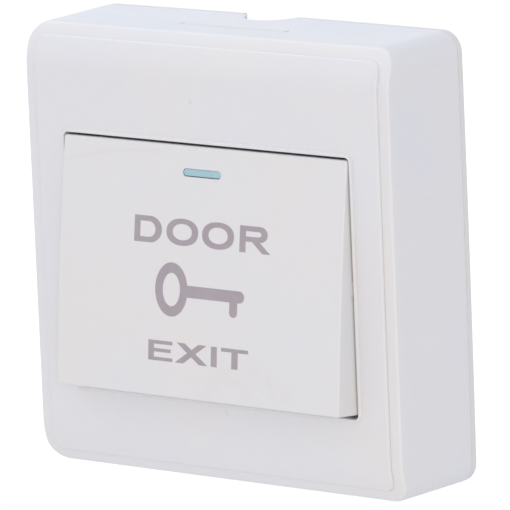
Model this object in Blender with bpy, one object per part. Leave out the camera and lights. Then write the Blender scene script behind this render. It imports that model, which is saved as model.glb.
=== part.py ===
"""Surface-mounted door exit button: a square moulded box with a raised front cover,
a large sprung rocker paddle and a small changeover switch inside.

Frame: +Z up, the front faces -Y, the wall plane is Y = 0 and X = Z = 0 is the middle
of the back plate. Lengths below are millimetres and are turned into metres when a
mesh is made.
"""
import math

import bmesh
import bpy
from mathutils import Matrix, Vector

MM = 0.001

# ---------------------------------------------------------------- driving dimensions
REAR_HALF = 43.0        # half the square outline at the wall: 86 mm box
FRONT_HALF_X = 42.85    # half width of the front rim
FRONT_HALF_Z = 42.70    # half height of the front rim
BOW = 0.19              # outward bow of each wall at its rear edge
CORNER_R = 4.0          # outer corner radius of the box
BAND_Y = -23.54         # flat part of the front rim
ROLL_TOP = 3.3          # how far the front rolls back at its top edge
ROLL_BOTTOM = 2.6       # and at its bottom edge
ROLL_LEN = 8.3          # height of the rolled zone
RAISE = 0.50            # front cover stands this much proud of the rim
LIP = 0.32              # bead round the window above the cover
WALL = 2.1              # wall thickness of the box

COVER_HALF = 40.45      # front cover, half of its square outline
COVER_R = 2.2
POCKET_GAP = 0.30
COVER_REAR_Y = -21.6
FLANGE_REAR_Y = -20.9
LEDGE_FRONT_Y = -20.6
LEDGE_REAR_Y = -19.2
LEDGE_HALF = 38.9

PLATE_HALF = 42.95      # back plate
PLATE_T = 1.5
SHELL_REAR_Y = -1.8

WIN_HALF_X = 33.74      # window
WIN_Z0, WIN_Z1 = -27.07, 22.25
WIN_R = 0.9
SKIRT_T = 1.34
SKIRT_REAR_Y = -16.8
LIP_W = 0.8

PIVOT_Y, PIVOT_Z = -21.8, -2.5
TILT = math.radians(6.75)   # paddle's lean at rest, lower edge out
ROCKER_HALF_X = 33.5
S_TOP, S_BOT = 23.86, -23.87   # along the paddle from the pivot
N_EDGE, CROWN = 5.40, 0.45     # front face ahead of the pivot, and its crown
N_REAR = -2.6
ROCKER_WALL = 1.6
ROCKER_CEIL = 3.7
AXLE_R = 1.5
SLOT_R = 1.8

SLOT_S = 18.86          # indicator, along the paddle
POST_S, POST_N = -11.4, -6.5

BOSS_XZ = 35.5
BOSS_R = 3.2
BOSS_FRONT_Y = -12.9
YOKE_Y0, YOKE_Y1 = -14.9, -13.2
YOKE_HALF_X, YOKE_HALF_Z = 37.0, 38.3
SPRING_X, SPRING_Z = 20.0, -16.6

PLUNGER_Z = -14.17
BLADE_PIVOT = (-12.8, -8.65)
TERM_X = {"common": -10.0, "closed": 0.0, "open": 10.0}
TERM_Z = -1.0

NOTCH_X, NOTCH_R = -0.85, 6.0
WIRE_HOLE = (-18.0, 18.0, 9.0, 31.0)

# ---------------------------------------------------------------- scene and materials
for o in list(bpy.data.objects):
    bpy.data.objects.remove(o)


def material(name, colour, rough, metal=0.0):
    m = bpy.data.materials.new(name)
    m.use_nodes = True
    b = m.node_tree.nodes["Principled BSDF"]
    b.inputs["Base Color"].default_value = (*colour, 1.0)
    b.inputs["Roughness"].default_value = rough
    b.inputs["Metallic"].default_value = metal
    return m


WHITE_SHELL = material("white_abs_shell", (0.82, 0.81, 0.83), 0.42)
WHITE_COVER = material("white_abs_cover", (0.83, 0.82, 0.83), 0.42)
WHITE_ROCKER = material("white_abs_rocker", (0.85, 0.84, 0.84), 0.38)
WHITE_PLATE = material("white_abs_plate", (0.76, 0.74, 0.75), 0.5)
TEAL = material("blue_green_insert", (0.36, 0.58, 0.62), 0.35)
YOKE_GREY = material("nylon_yoke", (0.62, 0.61, 0.58), 0.55)
BASE_BLACK = material("phenolic_base", (0.05, 0.05, 0.05), 0.5)
NATURAL = material("natural_nylon", (0.78, 0.76, 0.68), 0.5)
BRASS = material("brass", (0.72, 0.52, 0.24), 0.3, 1.0)
BRONZE = material("phosphor_bronze", (0.70, 0.42, 0.25), 0.3, 1.0)
SILVER = material("silver_contact", (0.80, 0.80, 0.78), 0.25, 1.0)
STEEL = material("zinc_plated_steel", (0.62, 0.63, 0.65), 0.3, 1.0)
SPRING = material("spring_steel", (0.45, 0.46, 0.48), 0.3, 1.0)


# ---------------------------------------------------------------- small modelling kit
def obj_from(bm, name="tmp"):
    bmesh.ops.recalc_face_normals(bm, faces=bm.faces)
    me = bpy.data.meshes.new(name)
    bm.to_mesh(me)
    bm.free()
    o = bpy.data.objects.new(name, me)
    bpy.context.scene.collection.objects.link(o)
    return o


def loft(rings, name="tmp"):
    """Closed solid through rings of equal point count, capped at both ends."""
    bm = bmesh.new()
    vs = [[bm.verts.new(Vector(p) * MM) for p in r] for r in rings]
    n = len(rings[0])
    for a, b in zip(vs, vs[1:]):
        for i in range(n):
            j = (i + 1) % n
            bm.faces.new((a[i], a[j], b[j], b[i]))
    bm.faces.new(list(reversed(vs[0])))
    bm.faces.new(vs[-1])
    return obj_from(bm, name)


def box(x0, x1, y0, y1, z0, z1):
    r = [(x0, z0), (x1, z0), (x1, z1), (x0, z1)]
    return loft([[(x, y, z) for x, z in r] for y in (y0, y1)])


def rounded(hx, hz, r, cx=0.0, cz=0.0, n=5, bow=0.0):
    """Rounded rectangle in X and Z, counter-clockwise; bow lifts the middle of each side."""
    pts = []
    for sx, sz, t0 in ((1, 1, 0), (-1, 1, 90), (-1, -1, 180), (1, -1, 270)):
        for k in range(n + 1):
            t = math.radians(t0 + 90.0 * k / n)
            pts.append((sx * (hx - r) + r * math.cos(t), sz * (hz - r) + r * math.sin(t)))
    if bow:
        out = []
        for i, p in enumerate(pts):
            q = pts[(i + 1) % len(pts)]
            out.append(p)
            if math.dist(p, q) > 20:
                for k in (1, 2, 3, 4, 5):
                    f = k / 6.0
                    m = [p[0] + (q[0] - p[0]) * f, p[1] + (q[1] - p[1]) * f]
                    b = bow * (1 - (2 * f - 1) ** 2)
                    axis = 0 if abs(p[0] - q[0]) < 1e-6 else 1
                    m[axis] += math.copysign(b, m[axis])
                    out.append(tuple(m))
        pts = out
    return [(cx + x, cz + z) for x, z in pts]


def prism_y(outline, y0, y1):
    return loft([[(x, y0, z) for x, z in outline], [(x, y1, z) for x, z in outline]])


def prism_x(profile, x0, x1):
    """Profile of (y, z) points run along X."""
    return loft([[(x0, y, z) for y, z in profile], [(x1, y, z) for y, z in profile]])


def circle(r, n=16, phase=0.5):
    return [(r * math.cos(2 * math.pi * (k + phase) / n), r * math.sin(2 * math.pi * (k + phase) / n)) for k in range(n)]


def cyl_y(x, z, r, y0, y1, n=16):
    return loft([[(x + a, y, z + b) for a, b in circle(r, n)] for y in (y0, y1)])


def turned_y(x, z, profile, n=16):
    """Turned about a line along Y; profile is (y, radius) from front to back."""
    return loft([[(x + a, y, z + b) for a, b in circle(r, n)] for y, r in profile])


def cyl_x(y, z, r, x0, x1, n=16):
    return loft([[(x, y + a, z + b) for a, b in circle(r, n)] for x in (x0, x1)])


def evaluated(o):
    dg = bpy.context.evaluated_depsgraph_get()
    return bpy.data.meshes.new_from_object(o.evaluated_get(dg))


def combine(base, *steps):
    """Joins or cuts solids one after another: ("+", solid) or ("-", solid) or ("*", solid)."""
    kind = {"+": "UNION", "-": "DIFFERENCE", "*": "INTERSECT"}
    for op, other in steps:
        m = base.modifiers.new("b", "BOOLEAN")
        m.operation = kind[op]
        m.solver = "EXACT"
        m.object = other
        me = evaluated(base)
        base.modifiers.clear()
        base.data = me
        bpy.data.objects.remove(other)
    return base


def tidy(o):
    """Dissolves flat fans left by the cuts and any point closer than a micrometre."""
    bm = bmesh.new()
    bm.from_mesh(o.data)
    bmesh.ops.remove_doubles(bm, verts=bm.verts, dist=1e-6)
    bmesh.ops.dissolve_limit(bm, angle_limit=math.radians(0.05), verts=bm.verts, edges=bm.edges, delimit={"NORMAL"})
    bmesh.ops.triangulate(bm, faces=[f for f in bm.faces if len(f.verts) > 4])
    bmesh.ops.recalc_face_normals(bm, faces=bm.faces)
    bm.to_mesh(o.data)
    bm.free()


def piece(o, name, mat, origin=(0, 0, 0), smooth=30.0, clean=True):
    """Names a finished solid, gives it its material and puts its origin where it belongs."""
    if clean:
        tidy(o)
    off = Vector(origin) * MM
    o.data.transform(Matrix.Translation(-off))
    o.location = off
    o.name = name
    o.data.name = name
    o.data.materials.clear()
    o.data.materials.append(mat)
    o.data.shade_smooth()
    o.data.set_sharp_from_angle(angle=math.radians(smooth))
    return o


# ---------------------------------------------------------------- the front's own curve
def roll(z):
    """How far the front lies back from its flat part at height z."""
    e = FRONT_HALF_Z - ROLL_LEN
    if z > e:
        return ROLL_TOP * ((z - e) / ROLL_LEN) ** 2
    if z < -e:
        return ROLL_BOTTOM * ((-z - e) / ROLL_LEN) ** 2
    return 0.0


def front_cutter(offset):
    """Everything ahead of the rim's surface moved forward by offset."""
    zs = [-50.0] + [-FRONT_HALF_Z - 0.5 + k * (ROLL_LEN + 0.5) / 7 for k in range(8)]
    zs += [-z for z in reversed(zs)]
    prof = [(BAND_Y - offset + roll(z), z) for z in zs]
    prof = [(-60.0, -50.0)] + prof + [(-60.0, 50.0)]
    return prism_x(prof, -60.0, 60.0)


def outer_ring(y, grow=0.0):
    t = min(max((y - BAND_Y) / (0.0 - BAND_Y), -0.1), 1.0)
    hx = FRONT_HALF_X + (REAR_HALF - FRONT_HALF_X) * t
    hz = FRONT_HALF_Z + (REAR_HALF - FRONT_HALF_Z) * t
    return [(x, y, z) for x, z in rounded(hx + grow, hz + grow, CORNER_R + grow, bow=BOW * max(t, 0.01))]


# ---------------------------------------------------------------- housing shell
shell = loft([outer_ring(-25.2), outer_ring(-12.0), outer_ring(SHELL_REAR_Y)])
pocket = COVER_HALF + POCKET_GAP
inner = REAR_HALF - WALL
combine(
    shell,
    ("-", front_cutter(0.0)),
    ("-", prism_y(rounded(pocket, pocket, COVER_R + 0.2), -30.0, LEDGE_FRONT_Y)),
    ("-", prism_y(rounded(LEDGE_HALF, LEDGE_HALF, 2.4), -21.5, -18.0)),
    ("-", prism_y(rounded(inner, inner, 2.6), LEDGE_REAR_Y, 5.0)),
)
for sx in (-1, 1):
    for sz in (-1, 1):
        cx, cz = sx * BOSS_XZ, sz * BOSS_XZ
        g1 = box(min(cx, cx + sx * 6.0), max(cx, cx + sx * 6.0), BOSS_FRONT_Y + 0.6, -6.0, cz - 0.8, cz + 0.8)
        g2 = box(cx - 0.8, cx + 0.8, BOSS_FRONT_Y + 0.6, -6.0, min(cz, cz + sz * 6.0), max(cz, cz + sz * 6.0))
        boss = combine(cyl_y(cx, cz, BOSS_R, BOSS_FRONT_Y, SHELL_REAR_Y), ("+", g1), ("+", g2))
        combine(
            shell,
            ("+", boss),
            ("-", cyl_y(cx, cz, 1.4, BOSS_FRONT_Y - 1.0, -8.0)),
            ("-", cyl_y(cx, cz, 1.4, -6.4, 1.0)),
        )
# cable inlet: an arc on the right, its left flank broken out straight
notch = [(NOTCH_X - NOTCH_R, 0.0)]
notch += [(NOTCH_X + NOTCH_R * math.cos(math.radians(a)), NOTCH_R * math.sin(math.radians(a))) for a in range(235, 361, 12)]
notch += [(NOTCH_X + NOTCH_R, 0.0)]


def notch_cut(z0, z1, y_add=6.0):
    prof = notch + [(NOTCH_X + NOTCH_R, y_add), (NOTCH_X - NOTCH_R, y_add)]
    return loft([[(x, y, z) for x, y in prof] for z in (z0, z1)])


combine(shell, ("-", notch_cut(36.0, 46.0)))
# scored outline of the trunking knock-out on the top wall
KO_X, KO_Y, KO_W = 12.35, -14.4, 0.3
for x0, x1, y0, y1 in (
    (-KO_X - KO_W / 2, KO_X + KO_W / 2, KO_Y - KO_W / 2, KO_Y + KO_W / 2),
    (-KO_X - KO_W / 2, -KO_X + KO_W / 2, KO_Y, -1.0),
    (KO_X - KO_W / 2, KO_X + KO_W / 2, KO_Y, -1.0),
):
    combine(shell, ("-", box(x0, x1, y0, y1, 42.55, 45.0)))
piece(shell, "housing_shell", WHITE_SHELL)

# ---------------------------------------------------------------- back plate
plate = loft([[(x, y, z) for x, z in rounded(PLATE_HALF, PLATE_HALF, CORNER_R, bow=BOW)] for y in (-PLATE_T, 0.0)])
RING_OUT, RING_IN = inner - 0.35, inner - 1.75
ribs = [
    (-RING_OUT, -RING_IN, -28.0, 28.0),
    (RING_IN, RING_OUT, -28.0, 28.0),
    (-28.0, 28.0, -RING_OUT, -RING_IN),
    (-28.0, NOTCH_X - NOTCH_R - 2.0, RING_IN, RING_OUT),
    (NOTCH_X + NOTCH_R + 2.0, 28.0, RING_IN, RING_OUT),
]
for x0, x1, z0, z1 in ribs:
    combine(plate, ("+", box(x0, x1, -5.0, -PLATE_T + 0.4, z0, z1)))
wx0, wx1, wz0, wz1 = WIRE_HOLE
combine(
    plate,
    ("-", prism_y(rounded((wx1 - wx0) / 2, (wz1 - wz0) / 2, 3.0, (wx0 + wx1) / 2, (wz0 + wz1) / 2, n=3), -8.0, 4.0)),
    ("-", notch_cut(36.0, 46.0)),
)
for sx in (-1, 1):
    combine(plate, ("-", prism_y(rounded(4.5, 2.4, 2.35, sx * 30.15, 0.0, n=3), -8.0, 4.0)))
    for sz in (-1, 1):
        combine(
            plate,
            ("-", cyl_y(sx * BOSS_XZ, sz * BOSS_XZ, 1.5, -4.0, 2.0)),
            ("-", cyl_y(sx * BOSS_XZ, sz * BOSS_XZ, 2.9, -0.95, 2.0)),
        )
piece(plate, "back_plate", WHITE_PLATE)

# ---------------------------------------------------------------- front cover
win_cx, win_cz = 0.0, (WIN_Z0 + WIN_Z1) / 2
win_hz = (WIN_Z1 - WIN_Z0) / 2
cover = prism_y(rounded(COVER_HALF, COVER_HALF, COVER_R, n=4), -26.5, COVER_REAR_Y)
flange = combine(
    prism_y(rounded(COVER_HALF, COVER_HALF, COVER_R, n=4), -23.0, FLANGE_REAR_Y),
    ("-", prism_y(rounded(39.3, 39.3, 1.6, n=4), -25.0, -18.0)),
)
combine(cover, ("+", flange), ("-", front_cutter(RAISE)))
lip = loft(
    [
        [(x, y, z) for x, z in rounded(WIN_HALF_X + w, win_hz + w, WIN_R + w, win_cx, win_cz, n=4)]
        for y, w in ((BAND_Y - RAISE - LIP, 0.35), (BAND_Y - RAISE - LIP * 0.6, 0.62), (BAND_Y - RAISE + 0.4, LIP_W))
    ]
)
skirt = prism_y(rounded(WIN_HALF_X + SKIRT_T, win_hz + SKIRT_T, WIN_R + SKIRT_T, win_cx, win_cz, n=4), -22.5, SKIRT_REAR_Y)
combine(
    cover,
    ("+", lip),
    ("+", skirt),
    ("-", prism_y(rounded(WIN_HALF_X, win_hz, WIN_R, win_cx, win_cz, n=4), -30.0, -10.0)),
)
for sx in (-1, 1):
    # axle slot, round at its front end and open to the rear
    u = [(PIVOT_Y - SLOT_R * math.sin(math.radians(a)), PIVOT_Z + SLOT_R * math.cos(math.radians(a))) for a in range(0, 181, 20)]
    u = u + [(-14.0, PIVOT_Z - SLOT_R), (-14.0, PIVOT_Z + SLOT_R)]
    lo, hi = sorted((sx * (WIN_HALF_X - 1.5), sx * (WIN_HALF_X + SKIRT_T + 1.0)))
    combine(cover, ("-", prism_x(u, lo, hi)))
    for sz in (-1, 1):
        z0, z1 = sorted((sz * 14.0, sz * 22.0))
        arm = [
            (-22.2, sx * 37.4), (-12.9, sx * 37.4), (-12.9, sx * 36.4), (-12.4, sx * 36.4),
            (-11.9, sx * 37.2), (-11.9, sx * 38.6), (-22.2, sx * 38.6),
        ]
        combine(cover, ("+", loft([[(x, y, z) for y, x in arm] for z in (z0, z1)])))
piece(cover, "front_cover", WHITE_COVER)


# ---------------------------------------------------------------- rocker paddle
def crown(s):
    """Front surface ahead of the pivot, along the paddle."""
    m, h = (S_TOP + S_BOT) / 2, (S_TOP - S_BOT) / 2
    return N_EDGE + CROWN * (1 - ((s - m) / h) ** 2)


# local frame: y = -n (outward is -Y), z = s; turned by -TILT about the axle at rest
E = 0.25
ss = [S_BOT + E + (S_TOP - S_BOT - 2 * E) * k / 8 for k in range(9)]
front = [(-crown(s), s) for s in ss]


def rocker_ring(x, inset):
    """Outline in y and z of the paddle at a given x, its front corners eased."""
    pts = [(-N_REAR, S_BOT), (-(N_EDGE - E), S_BOT)]
    pts += [(y + inset, z) for y, z in front]
    pts += [(-(N_EDGE - E), S_TOP), (-N_REAR, S_TOP)]
    return [(x, y, z) for y, z in pts]


def shrink(ring, d):
    """Ring pulled in by d at its front and its two ends, for the eased side edge."""
    out = []
    for x, y, z in ring:
        yy = y + d if y < -N_EDGE + 1.2 else y
        zz = z - math.copysign(d, z) if abs(z) > 23.5 and y < -N_EDGE + 1.2 else z
        out.append((x, yy, zz))
    return out


rocker = loft(
    [
        shrink(rocker_ring(-ROCKER_HALF_X, 0.0), E),
        rocker_ring(-ROCKER_HALF_X + E, 0.0),
        rocker_ring(ROCKER_HALF_X - E, 0.0),
        shrink(rocker_ring(ROCKER_HALF_X, 0.0), E),
    ]
)
wi = ROCKER_HALF_X - ROCKER_WALL
combine(rocker, ("-", box(-wi, wi, -ROCKER_CEIL, 6.0, S_BOT + ROCKER_WALL, S_TOP - ROCKER_WALL)))
# stiffening ribs, pusher post and spring pegs under the paddle
combine(
    rocker,
    ("+", box(-wi - 0.3, wi + 0.3, -ROCKER_CEIL - 0.4, -1.2, 6.9, 8.1)),
    ("+", box(-wi - 0.3, wi + 0.3, -ROCKER_CEIL - 0.4, -1.2, -7.1, -5.9)),
    ("+", box(-8.6, -7.4, -ROCKER_CEIL - 0.4, -1.2, S_BOT + 1.2, 7.5)),
    ("+", box(7.4, 8.6, -ROCKER_CEIL - 0.4, -1.2, S_BOT + 1.2, 7.5)),
)
post = loft([[(a, y, POST_S + b) for a, b in circle(r)] for y, r in ((-ROCKER_CEIL - 0.5, 2.4), (-0.5, 1.9), (5.9, 1.8), (-POST_N, 1.1))])
combine(rocker, ("+", post))
peg_s = (SPRING_Z - PIVOT_Z) / math.cos(TILT)
for sx in (-1, 1):
    combine(rocker, ("+", loft([[(sx * SPRING_X + a, y, peg_s + b) for a, b in circle(r, 12)] for y, r in ((-ROCKER_CEIL - 0.5, 1.5), (-1.9, 1.4))])))
    a, b = sorted((sx * (wi + 0.4), sx * (WIN_HALF_X + SKIRT_T - 0.05)))
    combine(rocker, ("+", cyl_x(0.0, 0.0, AXLE_R, a, b, 18)))
# slot for the luminous insert
combine(rocker, ("-", prism_y(rounded(4.72, 1.0, 0.99, 0.0, SLOT_S, n=4), -9.0, 0.0)))
tidy(rocker)
rocker.rotation_euler = (-TILT, 0.0, 0.0)
rocker.location = Vector((0.0, PIVOT_Y, PIVOT_Z)) * MM
rocker.name = rocker.data.name = "rocker"
rocker.data.materials.clear()
rocker.data.materials.append(WHITE_ROCKER)
rocker.data.shade_smooth()
rocker.data.set_sharp_from_angle(angle=math.radians(30))

insert = combine(
    prism_y(rounded(4.42, 0.70, 0.69, 0.0, SLOT_S, n=4), -crown(SLOT_S) + 0.10, -ROCKER_CEIL + 0.9),
    ("+", prism_y(rounded(6.2, 2.3, 0.6, 0.0, SLOT_S, n=2), -ROCKER_CEIL + 0.35, -ROCKER_CEIL + 1.35)),
)
tidy(insert)
insert.rotation_euler = (-TILT, 0.0, 0.0)
insert.location = Vector((0.0, PIVOT_Y, PIVOT_Z)) * MM
insert.name = insert.data.name = "indicator_insert"
insert.data.materials.clear()
insert.data.materials.append(TEAL)
insert.data.shade_smooth()
insert.data.set_sharp_from_angle(angle=math.radians(30))

# ---------------------------------------------------------------- mounting yoke
yoke = prism_y(rounded(YOKE_HALF_X, YOKE_HALF_Z, 2.5, n=3), YOKE_Y0, YOKE_Y1)
for sx in (-1, 1):
    x0, x1 = sorted((sx * 34.3, sx * 36.3))
    combine(
        yoke,
        ("+", box(x0, x1, -20.0, YOKE_Y0 + 0.4, PIVOT_Z - 1.3, PIVOT_Z + 1.3)),
        ("+", loft([[(sx * SPRING_X + a, y, SPRING_Z + b) for a, b in circle(r, 12)] for y, r in ((-17.4, 1.3), (YOKE_Y0 + 0.4, 1.5))])),
        ("-", cyl_y(sx * 19.5, -9.5, 1.4, -18.0, -10.0)),
    )
    for sz in (-1, 1):
        combine(yoke, ("-", cyl_y(sx * BOSS_XZ, sz * BOSS_XZ, 1.45, -18.0, -10.0)))
combine(
    yoke,
    ("+", box(-30.0, 30.0, -16.1, YOKE_Y0 + 0.4, 18.4, 20.4)),
    ("+", box(-30.0, -6.0, -18.35, YOKE_Y0 + 0.4, -26.6, -24.8)),
    ("+", box(6.0, 30.0, -18.35, YOKE_Y0 + 0.4, -26.6, -24.8)),
    ("-", cyl_y(0.0, PLUNGER_Z, 3.2, -18.0, -10.0, 20)),
    ("-", prism_y(rounded(24.0, 3.5, 2.0, 0.0, 29.0, n=2), -18.0, -10.0)),
)
piece(yoke, "mounting_yoke", YOKE_GREY)

# ---------------------------------------------------------------- switch
base = box(-17.0, 17.0, -11.4, -2.5, -19.2, 4.0)
combine(
    base,
    ("+", box(-22.5, 22.5, -11.4, -7.0, -12.3, -6.7)),
    ("-", box(-15.7, 15.7, -13.0, -3.7, -17.9, 2.7)),
    ("+", box(-5.6, -4.4, -11.4, -3.5, -3.9, 2.9)),
    ("+", box(4.4, 5.6, -11.4, -3.5, -3.9, 2.9)),
)
for x in TERM_X.values():
    combine(
        base,
        ("-", box(x - 1.8, x + 1.8, -7.6, -3.9, 2.0, 6.0)),
        ("-", cyl_y(x, TERM_Z, 3.2, -5.0, 0.0)),
    )
for sx in (-1, 1):
    combine(base, ("-", cyl_y(sx * 19.5, -9.5, 1.4, -14.0, -7.6)))
piece(base, "switch_base", BASE_BLACK)

lid = combine(
    box(-17.0, 17.0, -12.9, -11.7, -19.2, 4.0),
    ("+", box(-22.5, 22.5, -12.9, -11.7, -12.3, -6.7)),
    ("-", cyl_y(0.0, PLUNGER_Z, 1.75, -15.0, -9.0)),
)
for sx in (-1, 1):
    combine(lid, ("-", cyl_y(sx * 19.5, -9.5, 1.4, -15.0, -9.0)))
piece(lid, "switch_cover", BASE_BLACK)

plunger = turned_y(0.0, PLUNGER_Z, [(-16.3, 2.2), (-16.0, 2.6), (-15.1, 2.6), (-15.05, 1.4), (-9.7, 1.4), (-9.2, 0.8)], 18)
piece(plunger, "plunger", NATURAL, origin=(0.0, -12.3, PLUNGER_Z), clean=False)

bx, by = BLADE_PIVOT
blade = combine(box(-13.2, 6.5, -8.9, -8.4, -16.4, -12.0), ("-", cyl_y(5.0, PLUNGER_Z, 0.8, -12.0, -5.0, 14)))
piece(blade, "moving_blade", BRONZE, origin=(bx, by, PLUNGER_Z))

tip = turned_y(
    5.0, PLUNGER_Z,
    [(-9.5, 0.9), (-9.35, 1.3), (-9.05, 1.3), (-9.04, 0.6), (-8.26, 0.6), (-8.25, 1.3), (-8.0, 1.3), (-7.85, 0.9)], 14,
)
piece(tip, "blade_contact", SILVER, origin=(bx, by, PLUNGER_Z), clean=False)


def terminal_pad(x0, x1, x):
    return combine(box(x0, x1, -8.6, -7.8, -4.2, 2.2), ("-", cyl_y(x, TERM_Z, 1.6, -12.0, -5.0)))


common = combine(
    box(-14.4, -13.6, -10.5, -5.0, -17.2, -3.0),
    ("+", box(-14.4, -12.0, -9.9, -9.2, -16.4, -12.0)),
    ("+", box(-14.4, -12.0, -8.1, -7.4, -16.4, -12.0)),
    ("+", terminal_pad(-14.4, -6.8, TERM_X["common"])),
)
piece(common, "common_strip", BRASS)

closed = combine(
    terminal_pad(-3.2, 3.2, TERM_X["closed"]),
    ("+", box(-3.2, 6.4, -8.6, -7.8, -5.4, -4.1)),
    ("+", box(3.6, 6.4, -11.2, -7.8, -6.1, -5.3)),
    ("+", box(3.6, 6.4, -11.2, -10.5, -15.8, -5.4)),
    ("-", cyl_y(5.0, PLUNGER_Z, 0.8, -12.5, -10.0, 14)),
)
piece(closed, "closed_contact_strip", BRASS)

opened = combine(
    terminal_pad(6.8, 13.2, TERM_X["open"]),
    ("+", box(8.4, 13.2, -8.6, -7.8, -5.4, -4.1)),
    ("+", box(8.4, 11.4, -8.6, -4.0, -6.1, -5.3)),
    ("+", box(3.6, 11.4, -4.7, -4.0, -15.8, -5.4)),
    ("-", cyl_y(5.0, PLUNGER_Z, 0.8, -5.5, -3.8, 14)),
)
piece(opened, "open_contact_strip", BRASS)

rivet_c = turned_y(5.0, PLUNGER_Z, [(-11.3, 0.6), (-10.36, 0.6), (-10.35, 1.3), (-9.95, 1.3), (-9.75, 0.8)], 14)
piece(rivet_c, "closed_contact_rivet", SILVER, clean=False)
rivet_o = turned_y(5.0, PLUNGER_Z, [(-5.3, 0.8), (-5.15, 1.3), (-4.85, 1.3), (-4.84, 0.6), (-4.05, 0.6)], 14)
piece(rivet_o, "open_contact_rivet", SILVER, clean=False)


def screw(name, x, z, y_head, towards, length, head_r=2.5, shank_r=1.1, cross=True, head_h=1.3):
    """Pan-head screw along Y. towards is +1 when the shank runs to +Y from the head."""
    prof = [
        (y_head - towards * head_h, head_r * 0.62),
        (y_head - towards * head_h * 0.5, head_r),
        (y_head, head_r),
        (y_head + towards * 0.01, shank_r),
        (y_head + towards * (length - 0.8), shank_r),
        (y_head + towards * length, shank_r * 0.35),
    ]
    o = turned_y(x, z, prof, 12)
    deep = y_head - towards * head_h * 0.35
    outer = y_head - towards * (head_h + 1.0)
    y0, y1 = sorted((deep, outer))
    if cross:
        w = head_r * 0.14
        cut = combine(box(x - head_r * 0.5, x + head_r * 0.5, y0, y1, z - w, z + w), ("+", box(x - w, x + w, y0, y1, z - head_r * 0.5, z + head_r * 0.5)))
    else:
        cut = box(x - head_r * 1.1, x + head_r * 1.1, y0, y1, z - 0.3, z + 0.3)
    combine(o, ("-", cut))
    return piece(o, name, STEEL, origin=(x, y_head, z))


for key, x in TERM_X.items():
    clamp = combine(
        prism_y(rounded(2.9, 2.9, 0.5, x, TERM_Z, n=2), -6.9, -5.8),
        ("-", cyl_y(x, TERM_Z, 1.6, -8.0, -4.0)),
    )
    piece(clamp, f"terminal_clamp_{key}", STEEL)
    screw(f"terminal_screw_{key}", x, TERM_Z, -5.5, -1, 5.0, head_r=2.6, shank_r=1.2, cross=False)

for sx, side in ((-1, "left"), (1, "right")):
    screw(f"base_screw_{side}", sx * 19.5, -9.5, -15.2, 1, 7.2, head_r=2.2, shank_r=1.05)
k = 0
for sx, sz in ((-1, 1), (1, 1), (1, -1), (-1, -1)):
    k += 1
    screw(f"yoke_screw_{k}", sx * BOSS_XZ, sz * BOSS_XZ, -15.2, 1, 6.6)
    screw(f"plate_screw_{k}", sx * BOSS_XZ, sz * BOSS_XZ, -0.85, -1, 5.0, head_r=2.5, head_h=0.75)


# ---------------------------------------------------------------- coil springs
def coil(name, x, z, y0, y1, r, wire, turns, ends=0.75, origin=None):
    """Compression spring along Y with closed end turns; the wire has five sides."""
    per, sides = 11, 5
    n = int(per * (turns + 2 * ends))
    rings = []
    total = turns + 2 * ends
    for i in range(n + 1):
        t = total * i / n
        a = 2 * math.pi * t
        # slow lead in the end turns, even pitch between
        lead = 1.12 * wire
        if t < ends:
            h = lead * t
        elif t > total - ends:
            h = (y1 - y0 - wire) - lead * (total - t)
        else:
            h = lead * ends + ((y1 - y0 - wire) - 2 * lead * ends) * (t - ends) / turns
        c = Vector((x + r * math.cos(a), y0 + wire / 2 + h, z + r * math.sin(a)))
        out = Vector((math.cos(a), 0.0, math.sin(a)))
        rings.append([c + (out * math.cos(p) + Vector((0, 1, 0)) * math.sin(p)) * wire / 2 for p in [2 * math.pi * q / sides for q in range(sides)]])
    o = loft([[tuple(p) for p in ring] for ring in rings])
    return piece(o, name, SPRING, origin=origin or (x, y0, z), smooth=80, clean=False)


seat_n = ROCKER_CEIL
seat_y = PIVOT_Y + peg_s * math.sin(TILT) - seat_n * math.cos(TILT)
for sx, side in ((-1, "left"), (1, "right")):
    coil(f"rocker_spring_{side}", sx * SPRING_X, SPRING_Z, seat_y + 0.75, YOKE_Y0 - 0.3, 2.35, 0.5, 4.5)
coil("blade_spring", -5.0, PLUNGER_Z, -8.1, -4.0, 1.5, 0.35, 3.5)
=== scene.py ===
import math

import bmesh
import bpy
from mathutils import Matrix, Vector
from mathutils.geometry import delaunay_2d_cdt


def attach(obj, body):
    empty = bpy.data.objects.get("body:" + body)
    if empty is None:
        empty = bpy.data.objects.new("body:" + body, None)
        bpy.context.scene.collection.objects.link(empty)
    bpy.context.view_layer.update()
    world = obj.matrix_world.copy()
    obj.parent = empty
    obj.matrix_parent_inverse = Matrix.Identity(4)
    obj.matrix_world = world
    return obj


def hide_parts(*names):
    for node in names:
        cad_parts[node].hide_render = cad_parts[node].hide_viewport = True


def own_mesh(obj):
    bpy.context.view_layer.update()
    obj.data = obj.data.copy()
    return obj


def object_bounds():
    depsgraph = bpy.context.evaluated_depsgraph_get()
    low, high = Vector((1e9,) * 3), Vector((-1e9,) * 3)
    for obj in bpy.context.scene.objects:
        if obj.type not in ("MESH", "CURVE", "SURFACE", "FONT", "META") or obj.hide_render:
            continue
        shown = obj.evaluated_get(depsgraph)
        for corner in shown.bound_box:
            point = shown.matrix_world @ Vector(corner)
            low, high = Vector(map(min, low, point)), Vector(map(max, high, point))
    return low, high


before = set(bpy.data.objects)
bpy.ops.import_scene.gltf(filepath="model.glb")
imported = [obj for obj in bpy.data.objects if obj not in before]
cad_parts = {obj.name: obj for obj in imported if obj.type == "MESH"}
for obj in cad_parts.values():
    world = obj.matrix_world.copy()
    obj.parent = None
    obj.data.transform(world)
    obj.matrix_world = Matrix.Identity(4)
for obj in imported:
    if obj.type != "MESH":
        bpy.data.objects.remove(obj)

cad_low, cad_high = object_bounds()
MM = 0.001
COLL = bpy.context.scene.collection

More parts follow.
